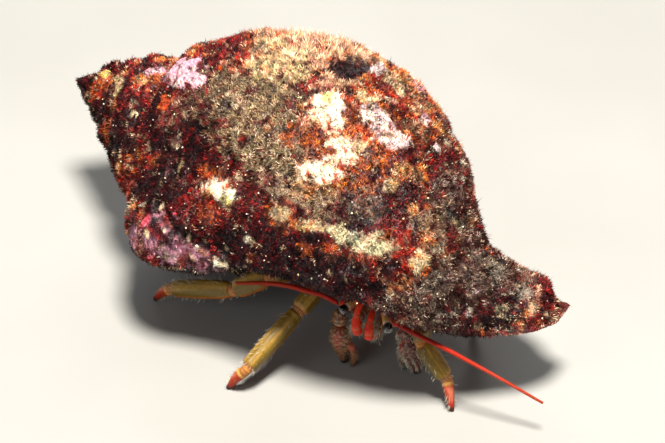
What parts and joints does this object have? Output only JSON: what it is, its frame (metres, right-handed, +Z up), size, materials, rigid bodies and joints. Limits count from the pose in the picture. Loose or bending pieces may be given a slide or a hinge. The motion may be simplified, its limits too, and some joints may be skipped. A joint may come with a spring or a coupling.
{
  "type": "hermit crab in a sea snail shell",
  "caption": "Still life-size hermit crab peering from under the lip of a spiral sea snail shell overgrown with red algal turf and pale crusts, walking legs out, feelers spread.",
  "frame": {"origin": "middle of the underside of the model's box, on the floor it stands on", "axes": "+Z up; +X along the longest side, from the shell's apex towards its canal; -Y towards the side the crab looks out of"},
  "size_m": [0.0484, 0.0398, 0.0263],
  "materials": {
    "shell_growth": "rough, covered with short red, brown and grey turf and pale crusts",
    "leg_olive": "hard, semi-gloss",
    "toe_orange": "hard, semi-gloss",
    "claw_brown": "hard, glossy, bristled",
    "feeler_red": "ringed, semi-gloss",
    "eye_black": "wet gloss with tiny white dots",
    "eyestalk_tan": "semi-gloss",
    "soft_body": "soft, moist"
  },
  "bodies": {
    "root": {"abdomen_end": "soft_body", "abdomen_front": "soft_body", "abdomen_middle": "soft_body", "antenna_base_l": "feeler_red", "antenna_base_r": "feeler_red", "antenna_whip_l": "feeler_red", "antenna_whip_r": "feeler_red", "antennule_l": "feeler_red", "antennule_r": "feeler_red", "carapace_rear": "soft_body", "claw_arm_l": "claw_brown", "claw_arm_r": "claw_brown", "claw_hand_l": "claw_brown", "claw_hand_r": "claw_brown", "claw_thumb_l": "claw_brown", "claw_thumb_r": "claw_brown", "claw_wrist_l": "claw_brown", "claw_wrist_r": "claw_brown", "cornea_l": "eye_black", "cornea_r": "eye_black", "eyestalk_l": "eyestalk_tan", "eyestalk_r": "eyestalk_tan", "leg2_l_carpus": "leg_olive", "leg2_l_dactyl": "toe_orange", "leg2_l_merus": "leg_olive", "leg2_l_propodus": "leg_olive", "leg2_r_carpus": "leg_olive", "leg2_r_dactyl": "toe_orange", "leg2_r_merus": "leg_olive", "leg2_r_propodus": "leg_olive", "leg3_l_carpus": "leg_olive", "leg3_l_dactyl": "toe_orange", "leg3_l_merus": "leg_olive", "leg3_l_propodus": "leg_olive", "leg3_r_carpus": "leg_olive", "leg3_r_dactyl": "toe_orange", "leg3_r_merus": "leg_olive", "leg3_r_propodus": "leg_olive", "leg4_l": "soft_body", "leg4_r": "soft_body", "leg5_l": "soft_body", "leg5_r": "soft_body", "mouth_foot_l": "claw_brown", "mouth_foot_r": "claw_brown", "shell": "shell_growth", "shield": "leg_olive", "tail_fan": "soft_body"}
  },
  "joints": []
}
